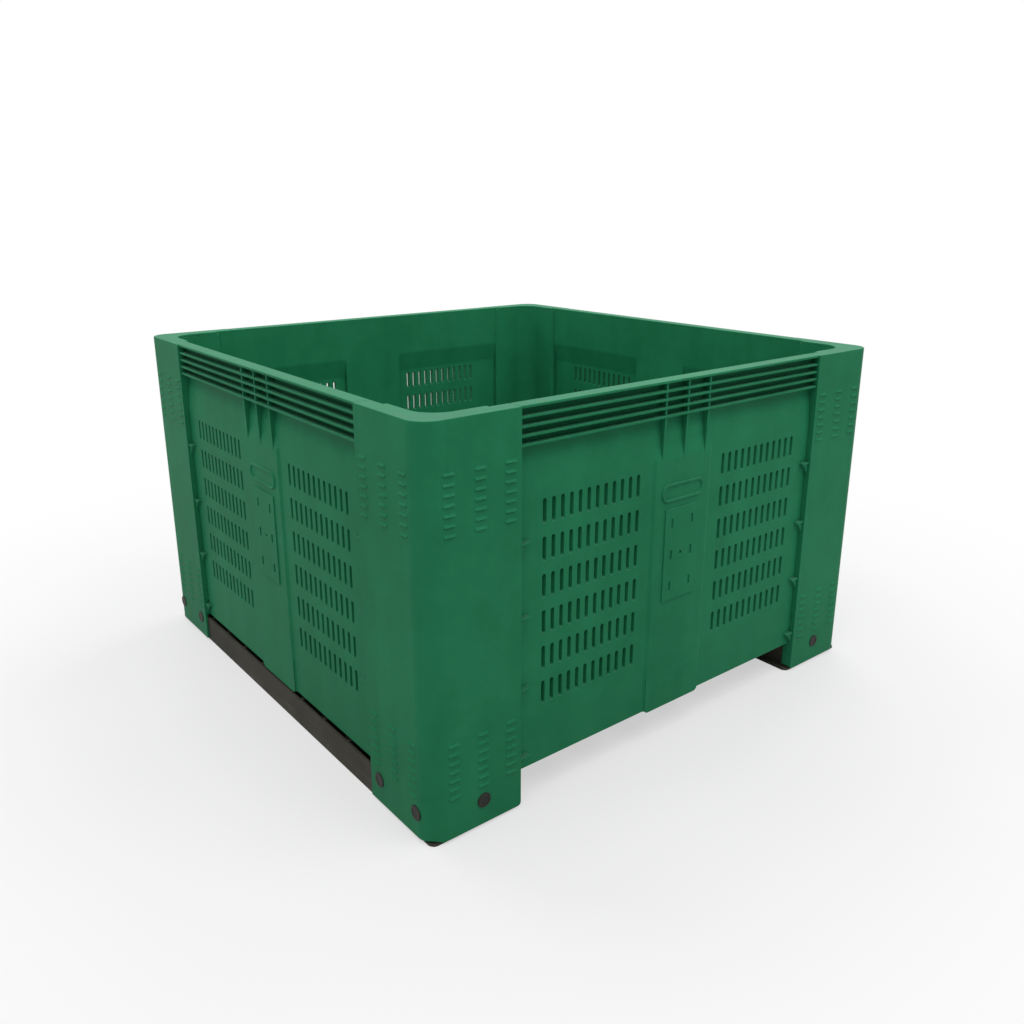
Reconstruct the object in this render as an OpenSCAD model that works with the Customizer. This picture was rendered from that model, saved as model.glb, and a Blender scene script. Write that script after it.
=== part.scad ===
// Square ventilated fruit bin: four side panels trapped between corner posts and inner corner
// liners, a slotted floor deck on a rib grid, and two skids pinned into the hollow post feet.
// Origin at the centre of the footprint on the ground, front towards -Y, +Z up, millimetres.

/* [Bin] */
// Width over the corner posts, the same both ways
bin_w = 1200; // [1080:1:1400]
// Height from the ground to the rim
bin_h = 741; // [650:1:900]
// Outer radius of the upright corners
corner_r = 40; // [25:1:48]

/* [Corner posts] */
// Width of a post on each of its two faces
post_w = 195; // [170:1:220]
// Wall of the post shell
post_wall = 5; // [4:0.5:7]
// Thickness of the plate that closes the top of a post
post_top = 5; // [4:0.5:8]
// Height of the slanted cut under the outer corner of the foot
foot_cut = 4; // [2:0.5:12]
// Depth of the closed side of the foot, towards the fork entry
foot_return = 25; // [16:1:34]
// Small chamfer at the lower edge of that closed side
foot_nick = 6; // [2:0.5:10]

/* [Grip beads] */
// Beads in one column
bead_n = 7; // [4:1:8]
// Columns of beads on one post face
bead_cols = 3; // [2:1:4]
// Length of a bead
bead_w = 22; // [16:1:26]
// Diameter of the round bar that a bead is cut from
bead_d = 7; // [5:0.5:9]
// How far a bead stands out of the post face
bead_rise = 2.5; // [1:0.25:3]
// Height between beads
bead_pitch = 16.6; // [14:0.2:20]
// Middle of the upper group, below the rim
bead_drop = 136; // [110:1:170]
// Middle of the lower group, above the ground
bead_lift = 135; // [130:1:170]
// Clear width between the last column and the post's edge
bead_edge = 12; // [6:0.5:16]

/* [Side panels] */
// Depth of the panel face behind the post face
panel_recess = 12; // [9:0.5:15]
// Wall of a panel
panel_t = 4.5; // [3:0.5:6]
// Length of the panel edge that is held inside a post
tongue = 40; // [25:1:50]
// Height of the slope under the rim ribs
ramp_h = 65; // [50:1:90]
// Top of that slope, below the rim
ramp_drop = 86; // [76:1:95]
// Height of the slope's steep upper part
knee_h = 17; // [12:1:24]
// Where the inner skin turns outwards to the vent fields, below the rim
skin_drop = 108; // [100:1:116]
// Depth of the inside lip that carries the floor
ledge_w = 24; // [18:1:32]
// Thickness of that lip
ledge_t = 5; // [3:0.5:8]

/* [Rim] */
// Setback of the rim and its ribs behind the post face
rim_setback = 3; // [1:0.5:5]
// Width of the rim's top
rim_w = 30.5; // [26:0.5:34]
// Thickness of the rim
rim_t = 5; // [4:0.5:8]
// Ribs under the rim
rib_n = 4; // [2:1:4]
// Thickness of a rib
rib_t = 4.5; // [3:0.5:6]
// Height between ribs
rib_pitch = 15.7; // [13:0.1:16]
// Middle of the top rib, below the rim
rib_drop = 19.5; // [14:0.5:22]
// How far the ribs stand out of the wall behind them
rib_depth = 17; // [13:0.5:20]

/* [Panel centre] */
// Width of the raised centre band
boss_w = 158; // [140:1:180]
// How far the band stands out of the panel
boss_rise = 3.5; // [2:0.5:5]
// How far the band's tab hangs below the panel edge
tab_drop = 5; // [3:0.5:6]
// Corner radius of the tab
tab_r = 10; // [6:0.5:16]
// Width of the box column behind the band
column_w = 172; // [160:1:200]
// Upright fins through the rim ribs
fin_n = 3; // [1:1:3]
// Distance between fins
fin_pitch = 60; // [40:1:66]
// Thickness of a fin
fin_t = 4.5; // [3:0.5:7]
// Setback of the fins' front edge behind the post face
fin_setback = 5.5; // [4:0.5:8]
// Lower tip of the fins, below the rim
fin_drop = 161; // [155:1:170]
// Width of the oblong ring
ring_w = 118; // [90:1:130]
// Height of the oblong ring
ring_h = 36; // [28:1:44]
// Width of the ring's bead
ring_bead = 5; // [3:0.5:7]
// How far the ring stands out of the band
ring_rise = 3; // [1:0.2:3.4]
// Middle of the ring, below the rim
ring_drop = 219; // [205:1:230]
// Width of the bare card plate
card_w = 94; // [70:1:120]
// Height of the card plate
card_h = 190; // [140:1:220]
// How far the card plate stands out of the band
card_rise = 2.4; // [1:0.2:3]
// Gap between the ring and the card plate
card_gap = 14; // [8:1:30]
// Width of a blind tie slot in the card plate
tie_w = 7; // [4:0.5:9]
// Height of a tie slot
tie_h = 20; // [14:1:26]
// Diameter of the hole in the middle of the card plate
card_hole = 6; // [4:0.5:10]

/* [Vents] */
// Width of a vent slot
vent_w = 8.5; // [6:0.5:11]
// Height of a vent slot
vent_h = 45; // [34:1:54]
// Depth of a vent slot, through the thickened field round it
vent_depth = 12.5; // [8:0.5:15]
// Height of the thickened field below its lowest slots
vent_frame = 12; // [6:1:14]
// Distance between slots in a row
vent_pitch = 20.5; // [17:0.5:26]
// Distance between rows
vent_rise = 68.6; // [60:0.2:80]
// Middle of the first slot, beside the panel's middle
vent_start = 120; // [110:1:140]
// Least distance from the last slot's middle to the post
vent_margin = 55; // [40:1:70]
// Middle of the lowest row, above the panel's lower edge
vent_lift = 139; // [110:1:160]
// Least distance from the top row's middle to the slope
vent_head = 36; // [32:1:60]

/* [Panel hooks] */
// Width of a hook
hook_w = 22; // [14:1:30]
// Thickness of the hook's plate
hook_t = 5; // [3:0.5:8]
// Setback of the hook's plate behind the post face
hook_setback = 2.5; // [1:0.5:5]
// Height of the gusset under the plate
hook_gusset = 24; // [16:1:36]
// Height between hooks
hook_pitch = 136; // [110:1:160]
// Middle of the lowest hook, above the panel's lower edge
hook_lift = 28; // [26:1:50]

/* [Corner liners] */
// Depth of the liner's inner face behind the post face
liner_depth = 41; // [40:0.5:48]
// Wall of the liner
liner_t = 4.5; // [3:0.5:6]
// Inside radius of the bin's corners
liner_r = 50; // [30:1:70]

/* [Floor] */
// Thickness of the floor plate
floor_t = 5; // [4:0.5:8]
// Height of the ribs under the plate
floor_rib_h = 44; // [38:1:60]
// Thickness of a floor rib
floor_rib_t = 5; // [3:0.5:7]
// Rib fields across the floor, each way
floor_cells = 10; // [6:1:12]
// Drain slots in one field
drain_n = 3; // [2:1:4]
// Width of a drain slot
drain_w = 8; // [5:0.5:10]
// Length of a drain slot
drain_l = 62; // [40:1:70]

/* [Skids] */
// Height of a skid between the posts
skid_h = 60; // [56:1:72]
// Gap between a skid and the panel's lower edge
skid_gap = 9; // [6.5:0.5:12]
// Wall of the skid
skid_wall = 6; // [4:0.5:8]
// Thickness of the sole plate
sole_t = 5; // [4:0.5:8]
// How far the sole reaches past the foot, towards the middle
sole_lip = 11; // [6:1:30]
// Corner radius of the sole plate
sole_r = 14; // [8:1:30]
// How much higher the skid stands inside the feet
skid_head = 21; // [12:1:24]
// Cross ribs inside a skid
skid_ribs = 11; // [7:1:11]

/* [Pins] */
// Diameter of a pin's shank
pin_d = 16; // [10:0.5:20]
// Diameter of a pin's head
pin_head_d = 28; // [22:1:32]
// Thickness of a pin's head
pin_head_t = 2; // [1.5:0.25:3]
// Length of the snap tip behind the skid wall
pin_tip = 6; // [4:0.5:10]
// How far the snap tip stands out past the bore
pin_barb = 1.2; // [0.8:0.1:2]
// Height of the pins above the ground
pin_z = 53; // [46:0.5:58]
// First side pin, from the bin's corner
pin_inset = 44; // [40:1:60]
// Second side pin, from the post's edge
pin_edge = 31; // [24:1:40]

/* [Hidden] */
$fn = 48;
bin_green = [0.14, 0.41, 0.29];
skid_black = [0.24, 0.23, 0.21];
pin_black = [0.18, 0.17, 0.16];

// Clearance between pieces that lie against each other
fit_gap = 0.3;
// Overrun of cuts past the faces that they open
overrun = 1;
// Place of the end pin across a post, from the bin's corner
end_pin_share = 0.575;
// Card plate's tie slots, as shares of its width and height from its middle
tie_column_shares = [-0.3, 0.3];
tie_row_shares = [-0.34, 0, 0.34];
// Drain slots' spread across a rib field
drain_spread_share = 0.6;
// Depth that the slope's steep part takes
knee_share = 0.56;
// Width of the gusset's top against the hook's plate
gusset_share = 0.8;
// Round of a pin's head, as a share of its thickness
head_round_share = 0.6;

half_w = bin_w / 2;
panel_half = half_w - post_w - fit_gap;
tongue_half = half_w - post_w + tongue;
panel_bottom = skid_h + skid_gap;
floor_z = skid_h + floor_rib_h;
floor_top = floor_z + floor_t;
tongue_bottom = floor_top + skid_gap;
ramp_hi = bin_h - ramp_drop;
ramp_lo = ramp_hi - ramp_h;
post_side_top = bin_h - post_top - fit_gap;
upper_d = rim_setback + rib_depth;
upper_back = upper_d + panel_t;
inner_d = rim_setback + rim_w;
skin_d = inner_d - panel_t;
low_inner_d = panel_recess + panel_t;
knee_d = upper_d - (upper_d - panel_recess) * knee_share;
knee_z = ramp_hi - knee_h;
knee_angle = atan((upper_d - knee_d) / knee_h);
ramp_shift = panel_t * tan(knee_angle / 2);
bury = panel_t / 2;
boss_d = panel_recess - boss_rise;
field_d = panel_recess + vent_depth;
rib_low = bin_h - rib_drop - (rib_n - 1) * rib_pitch;
ring_z = bin_h - ring_drop;
card_z = ring_z - ring_h / 2 - card_gap - card_h / 2;

vent_first_z = panel_bottom + vent_lift;
vent_cols = floor((panel_half - vent_margin - vent_start) / vent_pitch) + 1;
vent_rows = floor((ramp_lo - vent_head - vent_first_z) / vent_rise) + 1;
hook_first_z = panel_bottom + hook_lift;
hook_n = floor((ramp_lo - hook_gusset - hook_first_z) / hook_pitch) + 1;

foot_z = sole_t + fit_gap;
foot_top = panel_bottom - fit_gap;
skid_edge = post_wall + fit_gap;
skid_inner = post_w - post_wall - fit_gap;
skid_top = skid_h + skid_head;
end_pin_x = post_w * end_pin_share;
pin_bore = pin_d + 2 * fit_gap;
pin_grip = post_wall + fit_gap + skid_wall + fit_gap;
side_pin_places = [pin_inset, post_w - pin_edge];

bead_last = post_w - bead_edge - bead_w;
bead_step = (bead_last - corner_r) / max(bead_cols - 1, 1);
bead_axis_d = bead_d / 2 - bead_rise;

liner_start = post_w - tongue;
liner_h = post_side_top - floor_top;
bevel_run = liner_depth - inner_d - fit_gap;
bevel_trim = liner_t * (sqrt(2) - 1);
skin_half = half_w - liner_start - bevel_run - fit_gap;

floor_edge = half_w - low_inner_d - fit_gap;
rib_edge = half_w - low_inner_d - ledge_w - fit_gap;
cell = 2 * rib_edge / floor_cells;
drain_step = cell * drain_spread_share / (drain_n - 1);

// Places a front-wall shape on one of the four sides, counted from the front towards +X
module on_side(k) {
    rotate([0, 0, 90 * k])
        translate([0, -half_w, 0])
            children();
}

// Places a front-left corner shape on any corner, with the corner at the shape's own origin
module at_corner(right, back) {
    translate([right ? half_w : -half_w, back ? half_w : -half_w, 0])
        mirror([right ? 1 : 0, 0, 0])
            mirror([0, back ? 1 : 0, 0])
                children();
}

// Swaps a corner shape's two faces
module other_face() {
    mirror([1, -1, 0])
        children();
}

// Runs a depth and height outline along the wall
module along_wall(len) {
    rotate([90, 0, 90])
        linear_extrude(height = len, center = true)
            children();
}

// Gives an outline on the wall's face a depth from d0 to d1
module through_wall(d0, d1) {
    translate([0, d1, 0])
        rotate([90, 0, 0])
            linear_extrude(height = d1 - d0)
                children();
}

// Depth and height of the slope's three corners from its foot up, moved back and down
function slope_up(back, down) = [
    [panel_recess + back, ramp_lo - down],
    [knee_d + back, knee_z - down],
    [upper_d + back, ramp_hi - down]
];

// Rectangle between two corners
module span(x0, y0, x1, y1) {
    translate([x0, y0])
        square([x1 - x0, y1 - y0]);
}

// Upright slot outline with round ends
module upright_slot(w, h) {
    square([w, h - w], center = true);
    for (s = [-1, 1])
        translate([0, s * (h - w) / 2])
            circle(d = w);
}

// Square from the origin with the corner at the origin rounded
module corner_square(side, r) {
    span(r, 0, side, side);
    span(0, r, side, side);
    translate([r, r])
        circle(r);
}

// Outline of the whole bin, drawn in by an inset
module bin_outline(inset) {
    r = corner_r - inset;
    edge = half_w - inset;
    square([2 * (edge - r), 2 * edge], center = true);
    square([2 * edge, 2 * (edge - r)], center = true);
    for (x = [-1, 1], y = [-1, 1])
        translate([x * (edge - r), y * (edge - r)])
            circle(r);
}

module vents_2d() {
    for (side = [-1, 1], col = [0 : vent_cols - 1], row = [0 : vent_rows - 1])
        translate([side * (vent_start + col * vent_pitch), vent_first_z + row * vent_rise])
            upright_slot(vent_w, vent_h);
}

module card_hole_2d() {
    translate([0, card_z])
        circle(d = card_hole);
}

module tie_slots_2d() {
    for (x = tie_column_shares, z = tie_row_shares)
        translate([x * card_w, card_z + z * card_h])
            upright_slot(tie_w, tie_h);
}

// Thickened fields that the vent slots pass through, from the centre column to the liners
module vent_fields_2d() {
    near = column_w / 2 - panel_t;
    low = vent_first_z - vent_h / 2 - vent_frame;
    span(near, low, skin_half, ramp_lo);
    span(-skin_half, low, -near, ramp_lo);
}

// Flat vented part of the panel, with the edges that the posts hold
module flat_wall() {
    difference() {
        union() {
            through_wall(panel_recess, low_inner_d) {
                span(-panel_half, panel_bottom, panel_half, ramp_lo);
                span(-tongue_half, tongue_bottom, tongue_half, ramp_lo);
            }
            through_wall(panel_recess + bury, field_d)
                vent_fields_2d();
        }
        through_wall(panel_recess - overrun, field_d + overrun)
            vents_2d();
        through_wall(panel_recess - overrun, low_inner_d + overrun)
            card_hole_2d();
    }
}

// Slope and upper wall behind the rim ribs
module upper_wall() {
    inside = slope_up(panel_t, ramp_shift);
    along_wall(2 * tongue_half)
        polygon(concat(
            [[panel_recess, ramp_lo - panel_t]],
            slope_up(0, 0),
            [[upper_d, post_side_top], [upper_back, post_side_top]],
            [for (i = [2 : -1 : 0]) inside[i]],
            [[low_inner_d, ramp_lo - panel_t]]
        ));
    along_wall(2 * panel_half)
        span(upper_d, post_side_top - panel_t, upper_back, bin_h - rim_t / 2);
}

// Inner skin of the hollow wall, from the rim down to the vent fields
module inner_skin() {
    skin_foot = ramp_lo - panel_t;
    along_wall(2 * skin_half)
        polygon([
            [skin_d, post_side_top],
            [inner_d, post_side_top],
            [inner_d, bin_h - skin_drop],
            [field_d, skin_foot],
            [field_d - panel_t, skin_foot],
            [skin_d, bin_h - skin_drop]
        ]);
    along_wall(2 * panel_half)
        span(skin_d, post_side_top - panel_t, inner_d, bin_h - rim_t / 2);
}

// Rim and the ribs under it
module rim_ribs() {
    along_wall(2 * panel_half) {
        span(rim_setback, bin_h - rim_t, inner_d, bin_h);
        for (i = [0 : rib_n - 1])
            translate([0, bin_h - rib_drop - i * rib_pitch])
                span(rim_setback, -rib_t / 2, upper_d + bury, rib_t / 2);
    }
}

// Upright fins that run out on the centre band
module centre_fins() {
    for (i = [0 : fin_n - 1])
        translate([(i - (fin_n - 1) / 2) * fin_pitch, 0, 0])
            along_wall(fin_t)
                polygon(concat([
                    [upper_d + bury, bin_h - rim_t / 2],
                    [fin_setback, bin_h - rim_t / 2],
                    [fin_setback, rib_low],
                    [boss_d, bin_h - fin_drop],
                    [panel_recess + bury, bin_h - fin_drop]
                ], slope_up(bury, 0)));
}

// Raised band that fades out on the slope, its tab, the oblong ring and the bare card plate
module centre_band() {
    difference() {
        union() {
            along_wall(boss_w)
                polygon([
                    [boss_d, panel_bottom],
                    [boss_d, ramp_lo],
                    [knee_d + bury, knee_z],
                    [panel_recess + bury, ramp_lo],
                    [panel_recess + bury, panel_bottom]
                ]);
            through_wall(boss_d - card_rise, panel_recess)
                translate([0, card_z])
                    square([card_w, card_h], center = true);
        }
        through_wall(boss_d - card_rise - overrun, low_inner_d)
            card_hole_2d();
        through_wall(boss_d - card_rise - overrun, boss_d)
            tie_slots_2d();
    }
    through_wall(boss_d, low_inner_d)
        centre_tab_2d();
    through_wall(boss_d - ring_rise, panel_recess)
        translate([0, ring_z])
            rotate(90)
                difference() {
                    upright_slot(ring_h, ring_w);
                    upright_slot(ring_h - 2 * ring_bead, ring_w - 2 * ring_bead);
                }
}

module centre_tab_2d() {
    side = boss_w / 2;
    low = panel_bottom - tab_drop;
    span(-side, low + tab_r, side, panel_bottom + tab_r);
    span(-side + tab_r, low, side - tab_r, panel_bottom);
    for (s = [-1, 1])
        translate([s * (side - tab_r), low + tab_r])
            circle(tab_r);
}

// Box column behind the centre band, open at the bottom
module centre_column() {
    through_wall(skin_d, inner_d)
        span(-column_w / 2, panel_bottom, column_w / 2, ramp_hi + panel_t);
    for (s = [-1, 1])
        translate([s * (column_w - panel_t) / 2, 0, 0])
            along_wall(panel_t)
                polygon(concat(
                    [[inner_d, panel_bottom], [panel_recess + bury, panel_bottom]],
                    slope_up(bury, 0),
                    [[inner_d, ramp_hi]]
                ));
}

// Inside lip that the floor deck lies on
module floor_ledge() {
    along_wall(2 * panel_half - 2 * panel_t)
        span(low_inner_d - bury, floor_z - ledge_t, low_inner_d + ledge_w, floor_z);
}

// Hooks against the posts, each a plate with a gusset under it
module panel_hooks() {
    for (side = [0, 1], i = [0 : hook_n - 1])
        mirror([side, 0, 0])
            translate([panel_half, 0, hook_first_z + i * hook_pitch]) {
                through_wall(hook_setback, panel_recess + bury)
                    span(-hook_w, -hook_t / 2, 0, hook_t / 2);
                through_wall(hook_setback + hook_t / 2, panel_recess + bury)
                    polygon([[-hook_w * gusset_share, 0], [0, 0], [0, -hook_gusset]]);
            }
}

module side_panel() {
    color(bin_green) {
        flat_wall();
        upper_wall();
        inner_skin();
        rim_ribs();
        centre_fins();
        centre_band();
        centre_column();
        floor_ledge();
        panel_hooks();
    }
}

// Edge wall of a post, shaped to the panel that lies behind it
module post_return(foot_outline) {
    translate([post_w - post_wall / 2, 0, 0])
        along_wall(post_wall)
            polygon(concat(foot_outline, slope_up(-fit_gap, 0), [
                [upper_d - fit_gap, bin_h - post_top / 2],
                [post_wall / 2, bin_h - post_top / 2]
            ]));
}

// Raised beads on one face of a post, in an upper and a lower group
module grip_beads() {
    for (z = [bin_h - bead_drop, bead_lift], col = [0 : bead_cols - 1], i = [0 : bead_n - 1])
        translate([corner_r + col * bead_step, bead_axis_d, z + (i - (bead_n - 1) / 2) * bead_pitch])
            rotate([0, 90, 0])
                cylinder(d = bead_d, h = bead_w);
}

// Plate over the hollow post, following the liner and then the panel's inner edge
module post_top_2d() {
    difference() {
        corner_square(post_w, corner_r);
        translate([liner_depth, liner_depth])
            corner_square(post_w, liner_r);
        span(liner_start, inner_d, post_w + overrun, post_w + overrun);
        span(inner_d, liner_start, post_w + overrun, post_w + overrun);
    }
}

// Slanted cut under the outer corner of the foot
module foot_corner_cut() {
    reach = corner_r * (sqrt(2) - 1) + foot_z + foot_cut;
    translate([0, 0, reach])
        rotate([0, 0, 45])
            rotate([0, -45, 0])
                translate([-bin_h, -bin_h / 2, -bin_h / 2])
                    cube(bin_h);
}

module foot_edge_cut() {
    translate([0, foot_return / 2, 0])
        rotate([90, 0, 0])
            linear_extrude(height = foot_return + 2 * overrun, center = true)
                polygon([
                    [post_w - foot_nick, foot_z - overrun],
                    [post_w + overrun, foot_z - overrun],
                    [post_w + overrun, foot_z + foot_nick],
                    [post_w, foot_z + foot_nick],
                    [post_w - foot_nick, foot_z]
                ]);
}

module pin_bores(places) {
    for (x = places)
        translate([x, -overrun, pin_z])
            rotate([-90, 0, 0])
                cylinder(d = pin_bore, h = pin_grip + 2 * overrun);
}

module corner_post() {
    color(bin_green)
        difference() {
            union() {
                translate([0, 0, foot_z])
                    linear_extrude(height = bin_h - foot_z)
                        difference() {
                            corner_square(post_w, corner_r);
                            translate([post_wall, post_wall])
                                corner_square(post_w, corner_r - post_wall);
                        }
                translate([0, 0, bin_h - post_top])
                    linear_extrude(height = post_top)
                        post_top_2d();
                post_return([
                    [post_wall / 2, foot_z],
                    [foot_return, foot_z],
                    [foot_return, foot_top],
                    [panel_recess - fit_gap, foot_top]
                ]);
                other_face()
                    post_return([
                        [post_wall / 2, foot_top],
                        [panel_recess - fit_gap, foot_top]
                    ]);
                grip_beads();
                other_face()
                    grip_beads();
            }
            pin_bores([end_pin_x]);
            other_face()
                pin_bores(side_pin_places);
            foot_corner_cut();
            foot_edge_cut();
        }
}

// Inner wall of the hollow post with bevelled edges that press on the panels
module corner_liner() {
    color(bin_green)
        difference() {
            translate([0, 0, floor_top]) {
                linear_extrude(height = liner_h)
                    difference() {
                        translate([liner_depth - liner_t, liner_depth - liner_t])
                            corner_square(liner_start - liner_depth + liner_t, liner_r + liner_t);
                        translate([liner_depth, liner_depth])
                            corner_square(post_w, liner_r);
                    }
                liner_bevel();
                other_face()
                    liner_bevel();
            }
            panel_clearance();
            other_face()
                panel_clearance();
        }
}

// Edge of the liner: a slant from its inner face, then straight back to the panel
module liner_bevel() {
    edge = liner_start + bevel_run;
    back = low_inner_d + fit_gap;
    linear_extrude(height = liner_h)
        polygon([
            [liner_start - liner_t, liner_depth],
            [liner_start, liner_depth],
            [edge, liner_depth - bevel_run],
            [edge, back],
            [edge - liner_t, back],
            [edge - liner_t, liner_depth - bevel_run - bevel_trim],
            [liner_start - bevel_trim, liner_depth - liner_t],
            [liner_start - liner_t, liner_depth - liner_t]
        ]);
}

// Room that the panel's edge takes up in front of a liner
module panel_clearance() {
    translate([half_w - tongue_half + post_w / 2 - fit_gap, 0, 0])
        along_wall(post_w)
            polygon(concat(
                [[0, bin_h], [0, floor_top - overrun], [low_inner_d + fit_gap, floor_top - overrun]],
                slope_up(panel_t + fit_gap, ramp_shift),
                [[upper_back + fit_gap, bin_h]]
            ));
}

// Floor plate outline: between the panels, round their columns and into the posts
module floor_plate_2d() {
    difference() {
        union() {
            square(2 * floor_edge, center = true);
            intersection() {
                bin_outline(post_wall + fit_gap);
                for (x = [-1, 1], y = [-1, 1])
                    translate([x * (half_w - skid_inner / 2), y * (half_w - skid_inner / 2)])
                        square(skid_inner, center = true);
            }
        }
        for (k = [0 : 3])
            rotate(90 * k)
                span(
                    -column_w / 2 - fit_gap, -half_w,
                    column_w / 2 + fit_gap, -half_w + inner_d + fit_gap
                );
        for (i = [0 : floor_cells - 1], j = [0 : floor_cells - 1], n = [0 : drain_n - 1])
            translate([
                (i + 0.5) * cell - rib_edge,
                (j + 0.5) * cell - rib_edge + (n - (drain_n - 1) / 2) * drain_step
            ])
                rotate(90)
                    upright_slot(drain_w, drain_l);
    }
}

module floor_ribs_2d() {
    for (i = [0 : floor_cells]) {
        place = min(i * cell, 2 * rib_edge - floor_rib_t / 2) - rib_edge;
        start = max(place, floor_rib_t / 2 - rib_edge) - floor_rib_t / 2;
        span(start, -rib_edge, start + floor_rib_t, rib_edge);
        span(-rib_edge, start, rib_edge, start + floor_rib_t);
    }
}

module floor_deck() {
    color(bin_green) {
        translate([0, 0, floor_z])
            linear_extrude(height = floor_t)
                floor_plate_2d();
        difference() {
            translate([0, 0, skid_h])
                linear_extrude(height = floor_rib_h + floor_t / 2)
                    floor_ribs_2d();
            for (x = [-1, 1], y = [-1, 1])
                translate([x * half_w, y * half_w, skid_h])
                    cube([2 * post_w, 2 * post_w, 2 * (skid_head + fit_gap)], center = true);
        }
    }
}

// Outline of the skid's beam, or of its hollow when drawn in by the wall
module skid_beam_2d(inset) {
    intersection() {
        translate([half_w, 0])
            bin_outline(skid_edge + inset);
        span(0, -half_w, skid_inner - inset, half_w);
    }
}

module skid_walls_2d() {
    difference() {
        skid_beam_2d(0);
        skid_beam_2d(skid_wall);
    }
}

// Sole plate under the skid and the feet, with rounded corners
module sole_2d() {
    long = half_w - skid_edge;
    inner = post_w + sole_lip;
    span(skid_edge + sole_r, -long, inner - sole_r, long);
    span(skid_edge, sole_r - long, inner, long - sole_r);
    for (x = [skid_edge + sole_r, inner - sole_r], y = [sole_r - long, long - sole_r])
        translate([x, y])
            circle(sole_r);
}

module skid() {
    rib_step = 2 * (half_w - skid_edge) / (skid_ribs + 1);
    color(skid_black)
        difference() {
            union() {
                linear_extrude(height = sole_t)
                    sole_2d();
                translate([0, 0, sole_t / 2])
                    linear_extrude(height = skid_h - sole_t / 2) {
                        skid_walls_2d();
                        for (i = [1 : skid_ribs])
                            translate([
                                (skid_edge + skid_inner) / 2,
                                (i - (skid_ribs + 1) / 2) * rib_step
                            ])
                                square([skid_inner - skid_edge - skid_wall, skid_wall], center = true);
                    }
                translate([0, 0, sole_t])
                    linear_extrude(height = skid_top - sole_t)
                        intersection() {
                            skid_walls_2d();
                            for (s = [-1, 1])
                                translate([0, s * half_w])
                                    square(2 * skid_inner, center = true);
                        }
            }
            for (back = [0, 1])
                mirror([0, back, 0])
                    translate([0, -half_w, 0]) {
                        pin_bores([end_pin_x]);
                        other_face()
                            pin_bores(side_pin_places);
                    }
        }
}

// Push pin along +Y with the underside of its head on the post face
module push_pin() {
    head_round = pin_head_t * head_round_share;
    color(pin_black)
        rotate([-90, 0, 0])
            rotate_extrude()
                polygon([
                    [0, -pin_head_t],
                    [pin_head_d / 2 - head_round, -pin_head_t],
                    [pin_head_d / 2, -pin_head_t + head_round],
                    [pin_head_d / 2, 0],
                    [pin_d / 2, 0],
                    [pin_d / 2, pin_grip],
                    [pin_bore / 2 + pin_barb, pin_grip],
                    [pin_d / 2 - pin_barb, pin_grip + pin_tip],
                    [0, pin_grip + pin_tip]
                ]);
}

module end_pin() {
    translate([end_pin_x, 0, pin_z])
        push_pin();
}

module side_pins() {
    other_face()
        for (x = side_pin_places)
            translate([x, 0, pin_z])
                push_pin();
}

module side_panel_front() { on_side(0) side_panel(); }
module side_panel_right() { on_side(1) side_panel(); }
module side_panel_back() { on_side(2) side_panel(); }
module side_panel_left() { on_side(3) side_panel(); }
module corner_post_front_left() { at_corner(false, false) corner_post(); }
module corner_post_front_right() { at_corner(true, false) corner_post(); }
module corner_post_back_left() { at_corner(false, true) corner_post(); }
module corner_post_back_right() { at_corner(true, true) corner_post(); }
module corner_liner_front_left() { at_corner(false, false) corner_liner(); }
module corner_liner_front_right() { at_corner(true, false) corner_liner(); }
module corner_liner_back_left() { at_corner(false, true) corner_liner(); }
module corner_liner_back_right() { at_corner(true, true) corner_liner(); }
module skid_left() { translate([-half_w, 0, 0]) skid(); }
module skid_right() { translate([half_w, 0, 0]) mirror([1, 0, 0]) skid(); }
module side_pins_front_left() { at_corner(false, false) side_pins(); }
module side_pins_front_right() { at_corner(true, false) side_pins(); }
module side_pins_back_left() { at_corner(false, true) side_pins(); }
module side_pins_back_right() { at_corner(true, true) side_pins(); }
module end_pin_front_left() { at_corner(false, false) end_pin(); }
module end_pin_front_right() { at_corner(true, false) end_pin(); }
module end_pin_back_left() { at_corner(false, true) end_pin(); }
module end_pin_back_right() { at_corner(true, true) end_pin(); }

side_panel_front();
side_panel_right();
side_panel_back();
side_panel_left();
corner_post_front_left();
corner_post_front_right();
corner_post_back_left();
corner_post_back_right();
corner_liner_front_left();
corner_liner_front_right();
corner_liner_back_left();
corner_liner_back_right();
floor_deck();
skid_left();
skid_right();
side_pins_front_left();
side_pins_front_right();
side_pins_back_left();
side_pins_back_right();
end_pin_front_left();
end_pin_front_right();
end_pin_back_left();
end_pin_back_right();
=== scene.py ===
import math

import bmesh
import bpy
from mathutils import Matrix, Vector


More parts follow.
